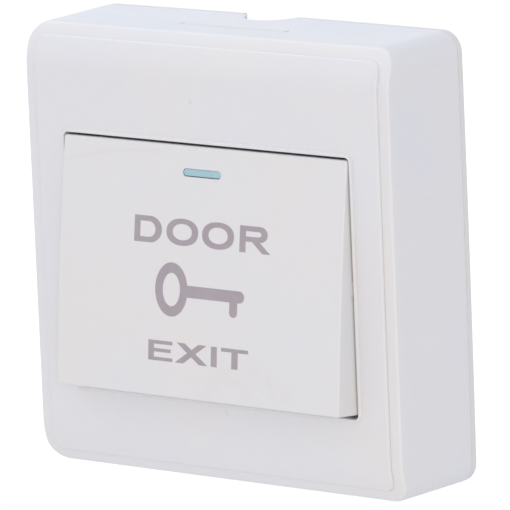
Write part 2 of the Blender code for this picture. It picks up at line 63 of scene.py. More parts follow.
# ------------------------------------------------------------------ shape, millimetres
REAR_HALF, FRONT_HX, FRONT_HZ = 42.985, 42.85, 42.70
BOW, CORNER_R = 0.160, 4.0
BAND_Y, ROLL_TOP, ROLL_BOTTOM, ROLL_LEN = -23.54, 3.3, 2.6, 8.3
RAISE, LIP = 0.50, 0.32
COVER_HALF, COVER_R, SEAM = 40.45, 2.2, 0.008
WIN_HX, WIN_Z0, WIN_Z1, WIN_R = 33.74, -27.07, 22.25, 0.9
WIN_CZ, WIN_HZ = (WIN_Z0 + WIN_Z1) / 2, (WIN_Z1 - WIN_Z0) / 2
SHELL_REAR_Y, PLATE_T, PLATE_HALF = -1.66, 1.6, 42.95
PIVOT_Y, PIVOT_Z, TILT = -21.8, -2.5, math.radians(6.75)
ROCKER_HX, S_TOP, S_BOT, N_EDGE, CROWN, N_REAR = 33.5, 23.86, -23.87, 5.40, 0.45, -2.6
ROCKER_WALL, CEIL = 1.6, 3.7
SLOT_S = 18.81
NOTCH_X, NOTCH_R = -0.85, 6.0
BOSS_XZ = 35.5
NC, NS = 8, 54          # points round a corner and along a side of every square ring


def roll(z):
    e = FRONT_HZ - ROLL_LEN
    if z > e:
        return ROLL_TOP * ((z - e) / ROLL_LEN) ** 2
    if z < -e:
        return ROLL_BOTTOM * ((-z - e) / ROLL_LEN) ** 2
    return 0.0


def crown(s):
    m, h = (S_TOP + S_BOT) / 2, (S_TOP - S_BOT) / 2
    return N_EDGE + CROWN * (1 - ((s - m) / h) ** 2)


# ------------------------------------------------------------------ mesh helpers
def link(bm, name):
    bmesh.ops.recalc_face_normals(bm, faces=bm.faces)
    me = bpy.data.meshes.new(name)
    bm.to_mesh(me)
    bm.free()
    o = bpy.data.objects.new(name, me)
    COLL.objects.link(o)
    return o


def square_ring(hx, hz, r, y, w=0.0, cz=0.0, bow=0.0, nc=NC, ns=NS):
    """Points of a rounded rectangle; y moves back with the front's roll by the share w."""
    pts = []
    sides = ((1, 1, 0), (-1, 1, 90), (-1, -1, 180), (1, -1, 270))
    for sx, sz, t0 in sides:
        for k in range(nc + 1):
            t = math.radians(t0 + 90.0 * k / nc)
            pts.append([sx * (hx - r) + r * math.cos(t), sz * (hz - r) + r * math.sin(t)])
        a = pts[-1]
        nsx, nsz, nt = sides[(sides.index((sx, sz, t0)) + 1) % 4]
        t = math.radians(nt)
        b = [nsx * (hx - r) + r * math.cos(t), nsz * (hz - r) + r * math.sin(t)]
        for k in range(1, ns):
            f = k / ns
            p = [a[0] + (b[0] - a[0]) * f, a[1] + (b[1] - a[1]) * f]
            if bow:
                axis = 0 if abs(a[0] - b[0]) < abs(a[1] - b[1]) else 1
                p[axis] += math.copysign(bow * (1 - (2 * f - 1) ** 2), p[axis])
            pts.append(p)
    out = []
    for x, z in pts:
        zz = z + cz
        out.append((x, y + w * roll(zz), zz))
    return out


def loft(rings, name, closed=False, grime_and_shade=None):
    """Skin through rings of equal count. closed joins the last ring to the first; else both ends are capped."""
    bm = bmesh.new()
    layer = bm.verts.layers.float.new("grime_and_shade") if grime_and_shade else None
    vs = []
    for k, r in enumerate(rings):
        row = []
        for p in r:
            v = bm.verts.new(Vector(p) * MM)
            if layer:
                v[layer] = grime_and_shade[k](p) if callable(grime_and_shade[k]) else grime_and_shade[k]
            row.append(v)
        vs.append(row)
    n = len(rings[0])
    pairs = list(zip(vs, vs[1:])) + ([(vs[-1], vs[0])] if closed else [])
    for a, b in pairs:
        for i in range(n):
            j = (i + 1) % n
            bm.faces.new((a[i], a[j], b[j], b[i]))
    if not closed:
        bm.faces.new(list(reversed(vs[0])))
        bm.faces.new(vs[-1])
    return link(bm, name)


def box(x0, x1, y0, y1, z0, z1):
    r = [(x0, z0), (x1, z0), (x1, z1), (x0, z1)]
    return loft([[(x, y, z) for x, z in r] for y in (y0, y1)], "tmp")


def prism_y(outline, y0, y1):
    return loft([[(x, y0, z) for x, z in outline], [(x, y1, z) for x, z in outline]], "tmp")


def circle(r, n=32):
    return [(r * math.cos(2 * math.pi * (k + 0.5) / n), r * math.sin(2 * math.pi * (k + 0.5) / n)) for k in range(n)]


def turned_y(x, z, profile, n=32, name="tmp"):
    return loft([[(x + a, y, z + b) for a, b in circle(r, n)] for y, r in profile], name)


def stadium(hx, hz, r, cx=0.0, cz=0.0, n=10):
    pts = []
    for sx, sz, t0 in ((1, 1, 0), (-1, 1, 90), (-1, -1, 180), (1, -1, 270)):
        for k in range(n + 1):
            t = math.radians(t0 + 90.0 * k / n)
            pts.append((cx + sx * (hx - r) + r * math.cos(t), cz + sz * (hz - r) + r * math.sin(t)))
    return pts


def combine(base, *steps):
    kind = {"+": "UNION", "-": "DIFFERENCE", "*": "INTERSECT"}
    for op, other in steps:
        m = base.modifiers.new("b", "BOOLEAN")
        m.operation = kind[op]
        m.solver = "EXACT"
        m.object = other
        me = bpy.data.meshes.new_from_object(base.evaluated_get(bpy.context.evaluated_depsgraph_get()))
        base.modifiers.clear()
        base.data = me
        bpy.data.objects.remove(other)
    return base


def apply_all(o):
    me = bpy.data.meshes.new_from_object(o.evaluated_get(bpy.context.evaluated_depsgraph_get()))
    o.modifiers.clear()
    o.data = me
    return o


def bevel(o, width, segments=2, angle=35.0):
    m = o.modifiers.new("bevel", "BEVEL")
    m.width = width * MM
    m.segments = segments
    m.limit_method = "ANGLE"
    m.angle_limit = math.radians(angle)
    m.use_clamp_overlap = True
    m.miter_outer = "MITER_ARC"
    return apply_all(o)


def finish(o, name, mat, body, nodes=(), angle=30.0):
    bm = bmesh.new()
    bm.from_mesh(o.data)
    bmesh.ops.remove_doubles(bm, verts=bm.verts, dist=5e-7)
    bmesh.ops.recalc_face_normals(bm, faces=bm.faces)
    bm.to_mesh(o.data)
    bm.free()
    o.name = o.data.name = name
    o.data.materials.clear()
    o.data.materials.append(mat)
    o.data.shade_smooth()
    o.data.set_sharp_from_angle(angle=math.radians(angle))
    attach(o, body)
    if nodes:
        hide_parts(*nodes)
    return o


# ------------------------------------------------------------------ materials
class Nodes:
    """Small writer for a node tree."""

    def __init__(self, name):
        self.m = bpy.data.materials.new(name)
        self.m.use_nodes = True
        self.t = self.m.node_tree
        self.b = self.t.nodes["Principled BSDF"]
        self.coord = self.new("ShaderNodeTexCoord")

    def new(self, kind, **props):
        n = self.t.nodes.new(kind)
        for k, v in props.items():
            setattr(n, k, v)
        return n

    def wire(self, a, b):
        self.t.links.new(a, b)

    def noise(self, scale, detail=3.0, rough=0.5, vector=None, seed=0.0):
        n = self.new("ShaderNodeTexNoise", noise_dimensions="4D")
        n.inputs["Scale"].default_value = scale
        n.inputs["Detail"].default_value = detail
        n.inputs["Roughness"].default_value = rough
        n.inputs["W"].default_value = seed
        self.wire(vector or self.coord.outputs["Object"], n.inputs["Vector"])
        return n.outputs["Fac"]

    def map(self, value, a0, a1, b0, b1):
        n = self.new("ShaderNodeMapRange")
        for k, v in (("From Min", a0), ("From Max", a1), ("To Min", b0), ("To Max", b1)):
            n.inputs[k].default_value = v
        self.wire(value, n.inputs["Value"])
        return n.outputs["Result"]

    def math(self, op, a, b=None, c=None):
        n = self.new("ShaderNodeMath", operation=op)
        for i, v in enumerate((a, b, c)):
            if v is None:
                continue
            if isinstance(v, (int, float)):
                n.inputs[i].default_value = v
            else:
                self.wire(v, n.inputs[i])
        return n.outputs[0]

    def mix(self, fac, a, b):
        n = self.new("ShaderNodeMix", data_type="RGBA")
        for key, v in (("Factor", fac), ("A", a), ("B", b)):
            sock = next(s for s in n.inputs if s.name == key and s.enabled and (key == "Factor" or s.type == "RGBA"))
            if isinstance(v, tuple):
                sock.default_value = (*v, 1.0)
            elif isinstance(v, (int, float)):
                sock.default_value = v
            else:
                self.wire(v, sock)
        return next(s for s in n.outputs if s.enabled and s.type == "RGBA")

    def bump(self, height, distance, strength=1.0):
        n = self.new("ShaderNodeBump")
        n.inputs["Strength"].default_value = strength
        n.inputs["Distance"].default_value = distance
        self.wire(height, n.inputs["Height"])
        self.wire(n.outputs["Normal"], self.b.inputs["Normal"])

    def streak(self, points, half):
        """Soft mask along a line through points (x, z), all in millimetres."""
        xyz = self.new("ShaderNodeSeparateXYZ")
        self.wire(self.coord.outputs["Object"], xyz.inputs[0])
        near = None
        for (ax, az), (bx, bz) in zip(points, points[1:]):
            dx, dz = (bx - ax) * MM, (bz - az) * MM
            sq = dx * dx + dz * dz
            px = self.math("SUBTRACT", xyz.outputs["X"], ax * MM)
            pz = self.math("SUBTRACT", xyz.outputs["Z"], az * MM)
            along = self.math("MULTIPLY_ADD", pz, dz / sq, self.math("MULTIPLY", px, dx / sq))
            along = self.map(along, 0.0, 1.0, 0.0, 1.0)
            qx = self.math("MULTIPLY_ADD", along, -dx, px)
            qz = self.math("MULTIPLY_ADD", along, -dz, pz)
            d = self.math("SQRT", self.math("MULTIPLY_ADD", qz, qz, self.math("MULTIPLY", qx, qx)))
            near = d if near is None else self.math("MINIMUM", near, d)
        return self.map(near, 0.0, half * MM, 1.0, 0.0)

    def stretched(self, x, y, z):
        n = self.new("ShaderNodeMapping")
        n.inputs["Scale"].default_value = (x, y, z)
        self.wire(self.coord.outputs["Object"], n.inputs["Vector"])
        return n.outputs["Vector"]


def plastic(name, colour, rough=0.42, grime_and_shade_colour=(0.37, 0.26, 0.18), grime_and_shade_gain=0.5, warm=(1.0, 0.985, 0.965), cool=(0.975, 0.985, 1.0), speck=0.5, seed=0.0, smears=()):
    """Moulded ABS: fine moulding grain, faint warm and cool clouding, a little grime and painted shade in the seams
    and recesses, few tiny specks, and smears.
    """
    n = Nodes(name)
    cloud = n.noise(38.0, 3.0, 0.55, seed=seed)
    fine = n.noise(420.0, 2.0, 0.6, seed=seed + 3.0)
    warm_c = tuple(c * w for c, w in zip(colour, warm))
    cool_c = tuple(c * w for c, w in zip(colour, cool))
    base = n.mix(n.map(cloud, 0.38, 0.62, 0.0, 1.0), warm_c, cool_c)
    base = n.mix(n.map(fine, 0.35, 0.65, 0.0, 0.10), base, tuple(c * 0.93 for c in colour))
    # per-vertex mask of grime plus painted shade in seams, recesses and hidden walls, made uneven and mixed toward
    # brown
    attr = n.new("ShaderNodeAttribute", attribute_name="grime_and_shade")
    uneven = n.map(n.noise(150.0, 4.0, 0.7, seed=seed + 7.0), 0.32, 0.70, 0.15, 1.0)
    grime_and_shade_mask = n.math("MULTIPLY", attr.outputs["Fac"], uneven)
    base = n.mix(n.math("MULTIPLY", grime_and_shade_mask, grime_and_shade_gain), base, grime_and_shade_colour)
    if speck:
        v = n.new("ShaderNodeTexVoronoi", feature="F1")
        v.inputs["Scale"].default_value = 95.0
        n.wire(n.coord.outputs["Object"], v.inputs["Vector"])
        rare = n.new("ShaderNodeSeparateColor")
        n.wire(v.outputs["Color"], rare.inputs["Color"])
        chosen = n.math("GREATER_THAN", rare.outputs["Red"], 0.93)
        size = n.map(v.outputs["Distance"], 0.018, 0.030, 1.0, 0.0)
        base = n.mix(n.math("MULTIPLY", n.math("MULTIPLY", chosen, size), speck), base, (0.33, 0.27, 0.22))
    if smears:
        patchy = n.map(n.noise(480.0, 3.0, 0.6, seed=seed + 15.0), 0.30, 0.60, 0.35, 1.0)
        for points, half, gain, stain in smears:
            base = n.mix(n.math("MULTIPLY", n.math("MULTIPLY", n.streak(points, half), patchy), gain), base, stain)
    n.wire(base, n.b.inputs["Base Color"])
    n.wire(n.map(n.noise(90.0, 3.0, seed=seed + 11.0), 0.3, 0.7, rough - 0.04, rough + 0.05), n.b.inputs["Roughness"])
    grain = n.noise(2300.0, 2.0, 0.6, seed=seed + 5.0)
    n.bump(grain, 0.000012, 0.35)
    n.b.inputs["Specular IOR Level"].default_value = 0.40
    return n.m


def metal(name, colour, rough, streak=(900.0, 900.0, 60.0), tarnish=(0.30, 0.20, 0.12), amount=0.25, seed=0.0):
    """Stamped or drawn metal with fine drawn lines and patchy tarnish."""
    n = Nodes(name)
    lines = n.noise(1.0, 3.0, 0.6, n.stretched(*streak), seed)
    patch = n.noise(260.0, 4.0, 0.65, seed=seed + 2.0)
    base = n.mix(n.map(lines, 0.3, 0.7, 0.0, 0.25), colour, tuple(c * 0.8 for c in colour))
    base = n.mix(n.map(patch, 0.52, 0.78, 0.0, amount), base, tarnish)
    n.wire(base, n.b.inputs["Base Color"])
    n.b.inputs["Metallic"].default_value = 1.0
    n.wire(n.map(patch, 0.35, 0.75, rough, rough + 0.18), n.b.inputs["Roughness"])
    n.bump(lines, 0.00001, 0.4)
    return n.m


def phenolic(name, colour, seed=0.0):
    """Dull pressed phenolic with pale filler flecks."""
    n = Nodes(name)
    fleck = n.noise(1500.0, 2.0, 0.5, seed=seed)
    cloud = n.noise(120.0, 3.0, 0.5, seed=seed + 1.0)
    base = n.mix(n.map(cloud, 0.35, 0.65, 0.0, 1.0), colour, tuple(min(1.0, c * 1.5) for c in colour))
    base = n.mix(n.map(fleck, 0.62, 0.74, 0.0, 0.25), base, (0.22, 0.20, 0.18))
    n.wire(base, n.b.inputs["Base Color"])
    n.wire(n.map(cloud, 0.3, 0.7, 0.42, 0.58), n.b.inputs["Roughness"])
    n.bump(fleck, 0.00001, 0.3)
    return n.m


def luminous(name):
    """Blue-green luminous plastic, slightly milky, with powder grain."""
    n = Nodes(name)
    powder = n.noise(1900.0, 2.0, 0.7)
    cloud = n.noise(160.0, 2.0, 0.5, seed=4.0)
    base = n.mix(n.map(powder, 0.35, 0.65, 0.0, 0.35), (0.335, 0.535, 0.600), (0.43, 0.64, 0.69))
    base = n.mix(n.map(cloud, 0.4, 0.7, 0.0, 0.3), base, (0.31, 0.50, 0.57))
    # painted shade: the vertex mask darkens the insert's sides in the slot almost to black
    attr = n.new("ShaderNodeAttribute", attribute_name="grime_and_shade")
    base = n.mix(n.math("MULTIPLY", attr.outputs["Fac"], 0.6), base, (0.10, 0.13, 0.15))
    n.wire(base, n.b.inputs["Base Color"])
    n.wire(n.map(powder, 0.3, 0.7, 0.34, 0.46), n.b.inputs["Roughness"])
    n.b.inputs["Subsurface Weight"].default_value = 0.12
    n.b.inputs["Subsurface Radius"].default_value = (0.0006, 0.0009, 0.0010)
    n.b.inputs["Subsurface Scale"].default_value = 1.0
    n.bump(powder, 0.000008, 0.3)
    return n.m


def ink(name):
    """Grey-violet pad-printed ink, slightly uneven in cover."""
    n = Nodes(name)
    cover = n.noise(520.0, 4.0, 0.7)
    worn = n.noise(95.0, 3.0, 0.6, seed=9.0)
    base = n.mix(n.map(cover, 0.35, 0.68, 0.0, 0.45), (0.350, 0.308, 0.345), (0.41, 0.365, 0.40))
    base = n.mix(n.map(worn, 0.55, 0.8, 0.0, 0.35), base, (0.46, 0.42, 0.44))
    n.wire(base, n.b.inputs["Base Color"])
    n.wire(n.map(cover, 0.3, 0.7, 0.45, 0.6), n.b.inputs["Roughness"])
    n.bump(cover, 0.000004, 0.4)
    return n.m


def floor_material():
    n = Nodes("studio_floor")
    cloud = n.noise(3.0, 2.0, 0.5)
    n.wire(n.mix(n.map(cloud, 0.3, 0.7, 0.0, 1.0), (0.79, 0.79, 0.79), (0.80, 0.80, 0.80)), n.b.inputs["Base Color"])
    n.wire(n.map(cloud, 0.3, 0.7, 0.85, 0.95), n.b.inputs["Roughness"])
    n.b.inputs["Specular IOR Level"].default_value = 0.1
    return n.m


M_SHELL = plastic("white_abs_shell", (0.727, 0.725, 0.752), 0.42, seed=1.0)
TAN, RUST = (0.62, 0.50, 0.36), (0.42, 0.25, 0.17)
# two small rust-coloured marks on the cover, above and below the window
M_COVER = plastic("white_abs_cover", (0.720, 0.723, 0.751), 0.42, seed=2.0, smears=(
    ([(-3.0, 30.2), (-2.78, 29.85)], 0.25, 0.36, RUST),
    ([(2.5, -28.7), (2.8, -29.05)], 0.6, 0.13, RUST),
))
# a thin tan smear across the paddle's upper left and faint diagonal smudges under the legend
M_ROCKER = plastic("white_abs_rocker", (0.715, 0.709, 0.721), 0.38, grime_and_shade_gain=0.45, seed=3.0, smears=(
    ([(-32.75, 17.3), (-27.0, 18.5), (-24.2, 19.2), (-20.0, 19.8), (-11.0, 20.35), (-9.0, 20.75), (-7.6, 21.4)], 0.7, 0.135, TAN),
    ([(5.2, -18.4), (8.6, -20.7), (11.9, -23.2)], 2.6, 0.085, TAN),
    ([(12.8, -18.0), (16.8, -20.5), (21.8, -23.1)], 2.8, 0.09, TAN),
    ([(16.6, -20.6), (17.8, -21.9), (19.2, -23.9)], 0.35, 0.13, TAN),
    ([(4.6, -21.3), (2.5, -24.5)], 2.6, 0.08, TAN),
))
M_PLATE = plastic("white_abs_plate", (0.700, 0.690, 0.690), 0.5, seed=4.0)
M_TEAL = luminous("blue_green_insert")
M_INK = ink("printed_legend")
M_YOKE = plastic("grey_nylon_yoke", (0.52, 0.51, 0.48), 0.55, speck=0.0, seed=5.0)
M_BASE = phenolic("black_phenolic_base", (0.028, 0.027, 0.026))
M_LID = phenolic("black_phenolic_lid", (0.032, 0.030, 0.029), 6.0)
M_NYLON = plastic("natural_nylon", (0.70, 0.67, 0.58), 0.5, speck=0.0, seed=6.0)
M_BRASS = metal("rolled_brass", (0.70, 0.52, 0.26), 0.24, seed=1.0)
M_BRONZE = metal("phosphor_bronze", (0.72, 0.45, 0.27), 0.22, seed=2.0)
M_SILVER = metal("silver_contact", (0.80, 0.79, 0.76), 0.2, tarnish=(0.25, 0.23, 0.20), amount=0.35, seed=3.0)
M_STEEL = metal("zinc_plated_steel", (0.66, 0.67, 0.69), 0.26, tarnish=(0.40, 0.40, 0.36), amount=0.3, seed=4.0)
M_SPRING = metal("drawn_spring_wire", (0.46, 0.47, 0.49), 0.24, tarnish=(0.20, 0.17, 0.14), amount=0.3, seed=5.0)

# ------------------------------------------------------------------ housing shell
def lerp(a, b, f):
    return a + (b - a) * f


def seam_grime_and_shade(gain):
    """Grime plus painted shade in the seam, strongest down the right side and along the bottom, hardly any on top and
    left.
    """

    def at(p):
        x, _, z = p
        right = max(0.0, min(1.0, (x - 38.5) / 1.0)) * max(0.25, min(1.0, (34.0 - z) / 30.0))
        low = 0.55 * max(0.0, min(1.0, (-38.5 - z) / 1.0))
        return gain * max(right, low, 0.04)

    return at


def outer(u, inset=0.0, y_add=0.0, w=None):
    """Ring of the outer wall, u = 0 at the rear edge and 1 at the front edge."""
    hx = lerp(REAR_HALF, FRONT_HX, u) - inset
    hz = lerp(REAR_HALF, FRONT_HZ, u) - inset
    y = lerp(SHELL_REAR_Y, BAND_Y, u) + y_add
    return square_ring(hx, hz, max(CORNER_R - inset, 0.5), y, u if w is None else w, bow=BOW * (1 - u))


rings, grime_and_shade = [], []


def add(r, d=0.0):
    rings.append(r)
    grime_and_shade.append(d)


# the second value of each ring is a vertex mask of painted shade with grime at the rear joint, in the pocket seam and
# inside the box
add(outer(0.0, 0.35, 0.0), 0.5)
add(outer(0.0, 0.07, 0.0), 0.3)
add(outer(0.0, 0.0, -0.08), 0.1)
for u in (0.04, 0.10, 0.2, 0.32, 0.45, 0.58, 0.7, 0.82, 0.9):
    add(outer(u), 0.0)
ER = 0.40
for k in range(0, 6):
    t = math.radians(90.0 * k / 5)
    add(outer(1.0, ER * (1 - math.cos(t)), ER * (1 - math.sin(t))), 0.0)
SEAM_HALF = COVER_HALF + SEAM


def pocket(grow, y, w=0.0):
    """Ring of the pocket round the cover, which sits against its top left and nearly closes it at the top right."""
    ring = square_ring(SEAM_HALF + grow, SEAM_HALF + grow, COVER_R + 0.01 + grow, y, w, cz=-SEAM)
    return [(x + SEAM * (1.0 if x < 0 else max(-0.75, min(1.0, (22.0 - z) / 14.0))), yy, z) for x, yy, z in ring]


for inset in (0.95, 1.25, 1.55):
    add(outer(1.0, inset, 0.0), 0.0)
add(pocket(0.16, BAND_Y, 1.0), seam_grime_and_shade(0.03))
add(pocket(0.04, BAND_Y, 1.0), seam_grime_and_shade(0.15))
add(pocket(0.0, BAND_Y, 1.0), seam_grime_and_shade(0.3))
add(pocket(0.0, -20.95, 0.3), 0.4)
add(pocket(0.0, -20.6), 0.4)
add(square_ring(38.9, 38.9, 2.4, -20.6), 0.3)
add(square_ring(38.9, 38.9, 2.4, -19.2), 0.0)
add(square_ring(40.9, 40.9, 2.6, -19.2), 0.0)
add(square_ring(40.9, 40.9, 2.6, -10.0), 0.0)
add(square_ring(40.9, 40.9, 2.6, SHELL_REAR_Y - 0.2), 0.2)
add(square_ring(41.1, 41.1, 2.8, SHELL_REAR_Y), 0.5)
shell = loft(rings, "shell", closed=True, grime_and_shade=grime_and_shade)

for sx in (-1, 1):
    for sz in (-1, 1):
        cx, cz = sx * BOSS_XZ, sz * BOSS_XZ
        x0, x1 = sorted((cx, cx + sx * 6.0))
        z0, z1 = sorted((cz, cz + sz * 6.0))
        boss = combine(
            turned_y(cx, cz, [(-12.9, 2.95), (-12.65, 3.2), (-1.8, 3.2)], 28),
            ("+", box(x0, x1, -12.3, -6.0, cz - 0.8, cz + 0.8)),
            ("+", box(cx - 0.8, cx + 0.8, -12.3, -6.0, z0, z1)),
            ("-", turned_y(cx, cz, [(-14.0, 1.4), (-8.0, 1.4)], 20)),
            ("-", turned_y(cx, cz, [(-6.4, 1.4), (1.0, 1.4)], 20)),
        )
        combine(shell, ("+", boss))


def notch_solid(r, z0, z1, y_add=6.0):
    """Cable inlet: an arc on the right, its left flank broken out straight."""
    arc = [(NOTCH_X - r, 0.0)]
    arc += [(NOTCH_X + r * math.cos(math.radians(a)), r * math.sin(math.radians(a))) for a in range(235, 361, 5)]
    prof = arc + [(NOTCH_X + r, y_add), (NOTCH_X - r, y_add)]
    return loft([[(x, y, z) for x, y in prof] for z in (z0, z1)], "tmp")


combine(shell, ("-", notch_solid(NOTCH_R, 36.0, 46.0)))
KO_X, KO_Y = 12.35, -14.2


def scored(x0, x1, y0, y1, z0, z1=None):
    """Thin cut into the top wall, its floor running from height z0 at y0 to z1 at y1."""
    z1 = z0 if z1 is None else z1
    return loft([[(x, y, b), (x, y, 45.0), (x + (x1 - x0), y, 45.0), (x + (x1 - x0), y, b)] for x, y, b in ((x0, y0, z0), (x0, y1, z1))], "tmp")


combine(
    shell,
    ("-", scored(-KO_X - 0.10, KO_X + 0.10, KO_Y - 0.07, KO_Y + 0.07, 42.838)),
    ("-", scored(-KO_X - 0.14, -KO_X + 0.14, KO_Y - 0.1, KO_Y + 1.5, 42.60)),
    ("-", scored(KO_X - 0.14, KO_X + 0.14, KO_Y - 0.1, KO_Y + 1.5, 42.60)),
    ("-", scored(-KO_X - 0.05, -KO_X + 0.05, KO_Y + 1.4, -1.0, 42.892, 43.115)),
    ("-", scored(KO_X - 0.05, KO_X + 0.05, KO_Y + 1.4, -1.0, 42.892, 43.115)),
)
# a trace of grime and painted shade in the scored line and at its two ends
grime_and_shade_mask = shell.data.attributes.get("grime_and_shade")
for v in shell.data.vertices:
    x, y, z = v.co / MM
    if 42.5 < z < 42.86 and abs(x) < KO_X + 0.3 and KO_Y - 0.2 < y < KO_Y + 1.6:
        grime_and_shade_mask.data[v.index].value = 0.9 if z < 42.7 else 0.35
finish(shell, "shell_body", M_SHELL, "housing", ["housing_shell"])

# ------------------------------------------------------------------ back plate
rings, grime_and_shade = [], []
# ring values: painted shade with grime along the plate's front and rear edges
for inset, y, d in ((0.25, 0.0, 0.3), (0.0, -0.25, 0.05), (0.0, -PLATE_T + 0.10, 0.05), (0.05, -PLATE_T + 0.02, 0.2), (0.4, -PLATE_T, 0.6)):
    add(square_ring(PLATE_HALF - inset, PLATE_HALF - inset, CORNER_R - inset, y, bow=BOW), d)
plate = loft(rings, "plate", grime_and_shade=grime_and_shade)
RO, RI = 40.55, 39.15
for x0, x1, z0, z1 in (
    (-RO, -RI, -28.0, 28.0), (RI, RO, -28.0, 28.0), (-28.0, 28.0, -RO, -RI),
    (-28.0, NOTCH_X - NOTCH_R - 2.0, RI, RO), (NOTCH_X + NOTCH_R + 2.0, 28.0, RI, RO),
):
    combine(plate, ("+", box(x0, x1, -5.0, -PLATE_T + 0.4, z0, z1)))
combine(
    plate,
    ("-", prism_y(stadium(18.0, 11.0, 3.0, 0.0, 20.0, 8), -8.0, 4.0)),
    ("-", notch_solid(NOTCH_R, 36.0, 46.0)),
    ("-", box(NOTCH_X - NOTCH_R - 0.4, NOTCH_X, -PLATE_T - 0.23, 1.0, 35.93, 47.0)),
)
for sx in (-1, 1):
    combine(plate, ("-", prism_y(stadium(4.5, 2.4, 2.38, sx * 30.15, 0.0, 8), -8.0, 4.0)))
    for sz in (-1, 1):
        combine(
            plate,
            ("-", turned_y(sx * BOSS_XZ, sz * BOSS_XZ, [(-4.0, 1.5), (2.0, 1.5)], 28)),
            ("-", turned_y(sx * BOSS_XZ, sz * BOSS_XZ, [(-0.95, 2.9), (2.0, 2.9)], 36)),
        )
# moulded stiffening lines and ejector marks on the rear face
for z in (-12.0, -24.0):
    combine(plate, ("-", box(-26.0, 26.0, -0.18, 1.0, z - 0.35, z + 0.35)))
for x, z in ((-26.0, 20.0), (26.0, 20.0), (-12.0, -32.0), (12.0, -32.0)):
    combine(plate, ("-", turned_y(x, z, [(-0.12, 2.4), (1.0, 2.4)], 32)))
finish(plate, "wall_plate", M_PLATE, "housing", ["back_plate"])

# ------------------------------------------------------------------ front cover
PLATEAU = BAND_Y - RAISE
BEAD = PLATEAU - LIP
rings, grime_and_shade = [], []


def win(grow, y, w=0.0):
    return square_ring(WIN_HX + grow, WIN_HZ + grow, WIN_R + grow, y, w, cz=WIN_CZ)


def groove(gain):
    """Painted shade in the groove round the bead, mostly down the right side."""

    def at(p):
        x, _, z = p
        return gain * (1.0 if x > WIN_HX else 0.35 if z > WIN_Z1 else 0.15)

    return at


# ring values: painted shade on the window's inner walls and in the bead groove, painted shade with grime on the hidden
# seam walls
add(win(0.0, -16.8), 0.6)
add(win(0.0, -20.0), 0.8)
add(win(0.0, -23.2), 0.6)
add(win(0.0, BEAD + 0.18), 0.2)
add(win(0.05, BEAD + 0.06), 0.05)
add(win(0.17, BEAD), 0.0)
add(win(0.36, BEAD), 0.0)
add(win(0.48, BEAD + 0.05), 0.0)
add(win(0.56, BEAD + 0.16), 0.0)
add(win(0.62, PLATEAU - 0.03), groove(0.35))
add(win(0.70, PLATEAU + 0.03), groove(0.5))
add(win(0.84, PLATEAU + 0.045), groove(0.3))
add(win(1.10, PLATEAU + 0.03), 0.0)
add(win(1.60, PLATEAU + 0.012), 0.0)
add(win(2.6, PLATEAU), 0.0)
# across the plateau, from the window's outline to the cover's
a_hx, a_hz, a_r, a_cz = WIN_HX + 2.6, WIN_HZ + 2.6, WIN_R + 2.6, WIN_CZ
b_h, b_r = COVER_HALF - 0.75, COVER_R - 0.5
for k in range(1, 15):
    f = k / 14.0
    add(square_ring(lerp(a_hx, b_h, f), lerp(a_hz, b_h, f), lerp(a_r, b_r, f), PLATEAU, 1.0, cz=lerp(a_cz, 0.0, f)), 0.0)
CR = 0.34
for k in range(0, 6):
    t = math.radians(90.0 * k / 5)
    add(square_ring(COVER_HALF - CR * (1 - math.sin(t)), COVER_HALF - CR * (1 - math.sin(t)), COVER_R - CR * (1 - math.sin(t)), PLATEAU + CR * (1 - math.cos(t)), 1.0), seam_grime_and_shade(0.02 * k))
add(square_ring(COVER_HALF, COVER_HALF, COVER_R, PLATEAU + RAISE - 0.02, 1.0), seam_grime_and_shade(0.25))
add(square_ring(COVER_HALF, COVER_HALF, COVER_R, PLATEAU + RAISE + 0.2, 1.0), 0.3)
add(square_ring(COVER_HALF, COVER_HALF, COVER_R, -20.9, 0.0), 0.4)
add(square_ring(39.3, 39.3, 1.6, -20.9, 0.0), 0.0)
add(square_ring(39.3, 39.3, 1.6, -21.6, 0.35), 0.0)
add(square_ring(WIN_HX + 1.34, WIN_HZ + 1.34, WIN_R + 1.34, -21.6, cz=WIN_CZ), 0.0)
add(win(1.34, -16.8), 0.3)
cover = loft(rings, "cover", closed=True, grime_and_shade=grime_and_shade)
for sx in (-1, 1):
    u = [(PIVOT_Y - 1.8 * math.sin(math.radians(a)), PIVOT_Z + 1.8 * math.cos(math.radians(a))) for a in range(0, 181, 9)]
    u = u + [(-14.0, PIVOT_Z - 1.8), (-14.0, PIVOT_Z + 1.8)]
    lo, hi = sorted((sx * (WIN_HX - 1.5), sx * (WIN_HX + 2.34)))
    combine(cover, ("-", loft([[(x, y, z) for y, z in u] for x in (lo, hi)], "tmp")))
    for sz in (-1, 1):
        z0, z1 = sorted((sz * 14.0, sz * 22.0))
        arm = [
            (-22.2, sx * 37.4), (-12.9, sx * 37.4), (-12.9, sx * 36.4), (-12.4, sx * 36.4),
            (-11.9, sx * 37.2), (-11.9, sx * 38.6), (-22.2, sx * 38.6),
        ]
        combine(cover, ("+", loft([[(x, y, z) for y, x in arm] for z in (z0, z1)], "tmp")))
finish(cover, "cover_panel", M_COVER, "housing", ["front_cover"])

# ------------------------------------------------------------------ rocker paddle
LOCAL = Matrix.Translation(Vector((0.0, PIVOT_Y, PIVOT_Z)) * MM) @ Matrix.Rotation(-TILT, 4, "X")


def local(x, s, n):
    """Point of the paddle's own frame (n outward) at rest, in millimetres."""
    return LOCAL @ (Vector((x, -n, s)) * MM) / MM


# outline rings: the sides run straight back, and the front edge is eased, softer at the top than below
E_TOP, E_LOW = 0.46, 0.26
PAD_C, PAD_H = (S_TOP + S_BOT) / 2, (S_TOP - S_BOT) / 2
rings, grime_and_shade = [], []


